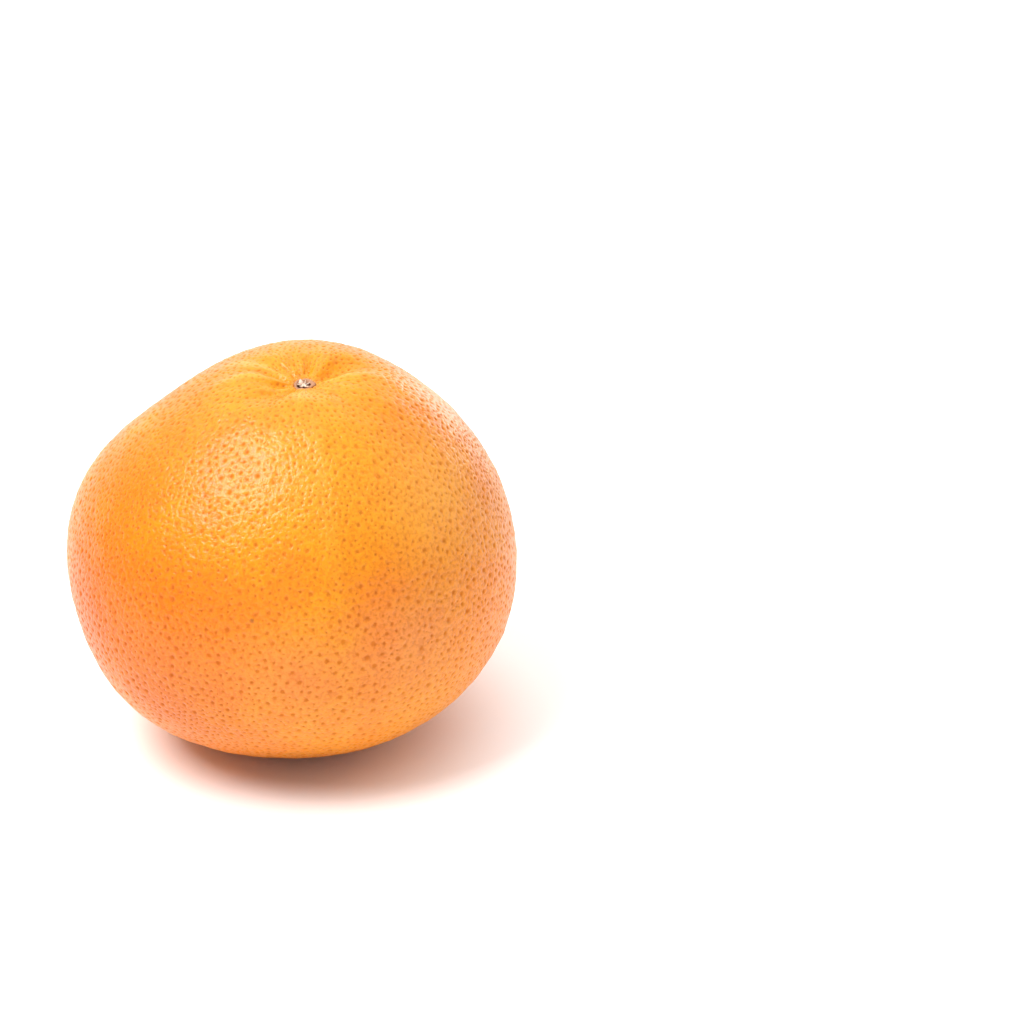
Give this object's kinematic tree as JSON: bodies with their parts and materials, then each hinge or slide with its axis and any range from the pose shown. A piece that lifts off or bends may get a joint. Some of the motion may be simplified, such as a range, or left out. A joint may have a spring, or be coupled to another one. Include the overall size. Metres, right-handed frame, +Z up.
{
  "type": "grapefruit",
  "caption": "Whole ripe grapefruit, broad with a slightly raised, furrowed stem end and a small flat spot to rest on, with the dry stem end left in its pit.",
  "frame": {"origin": "middle of the fruit's outline seen from above, on the surface that it rests on", "axes": "+Z up, towards the stem end; the stem end leans a little to -Y and sits a little to +X"},
  "size_m": [0.1092, 0.1098, 0.0958],
  "materials": {
    "rind": "satin",
    "stem": "matte"
  },
  "bodies": {
    "root": {"fruit": "rind", "stem_button": "stem"}
  },
  "joints": []
}
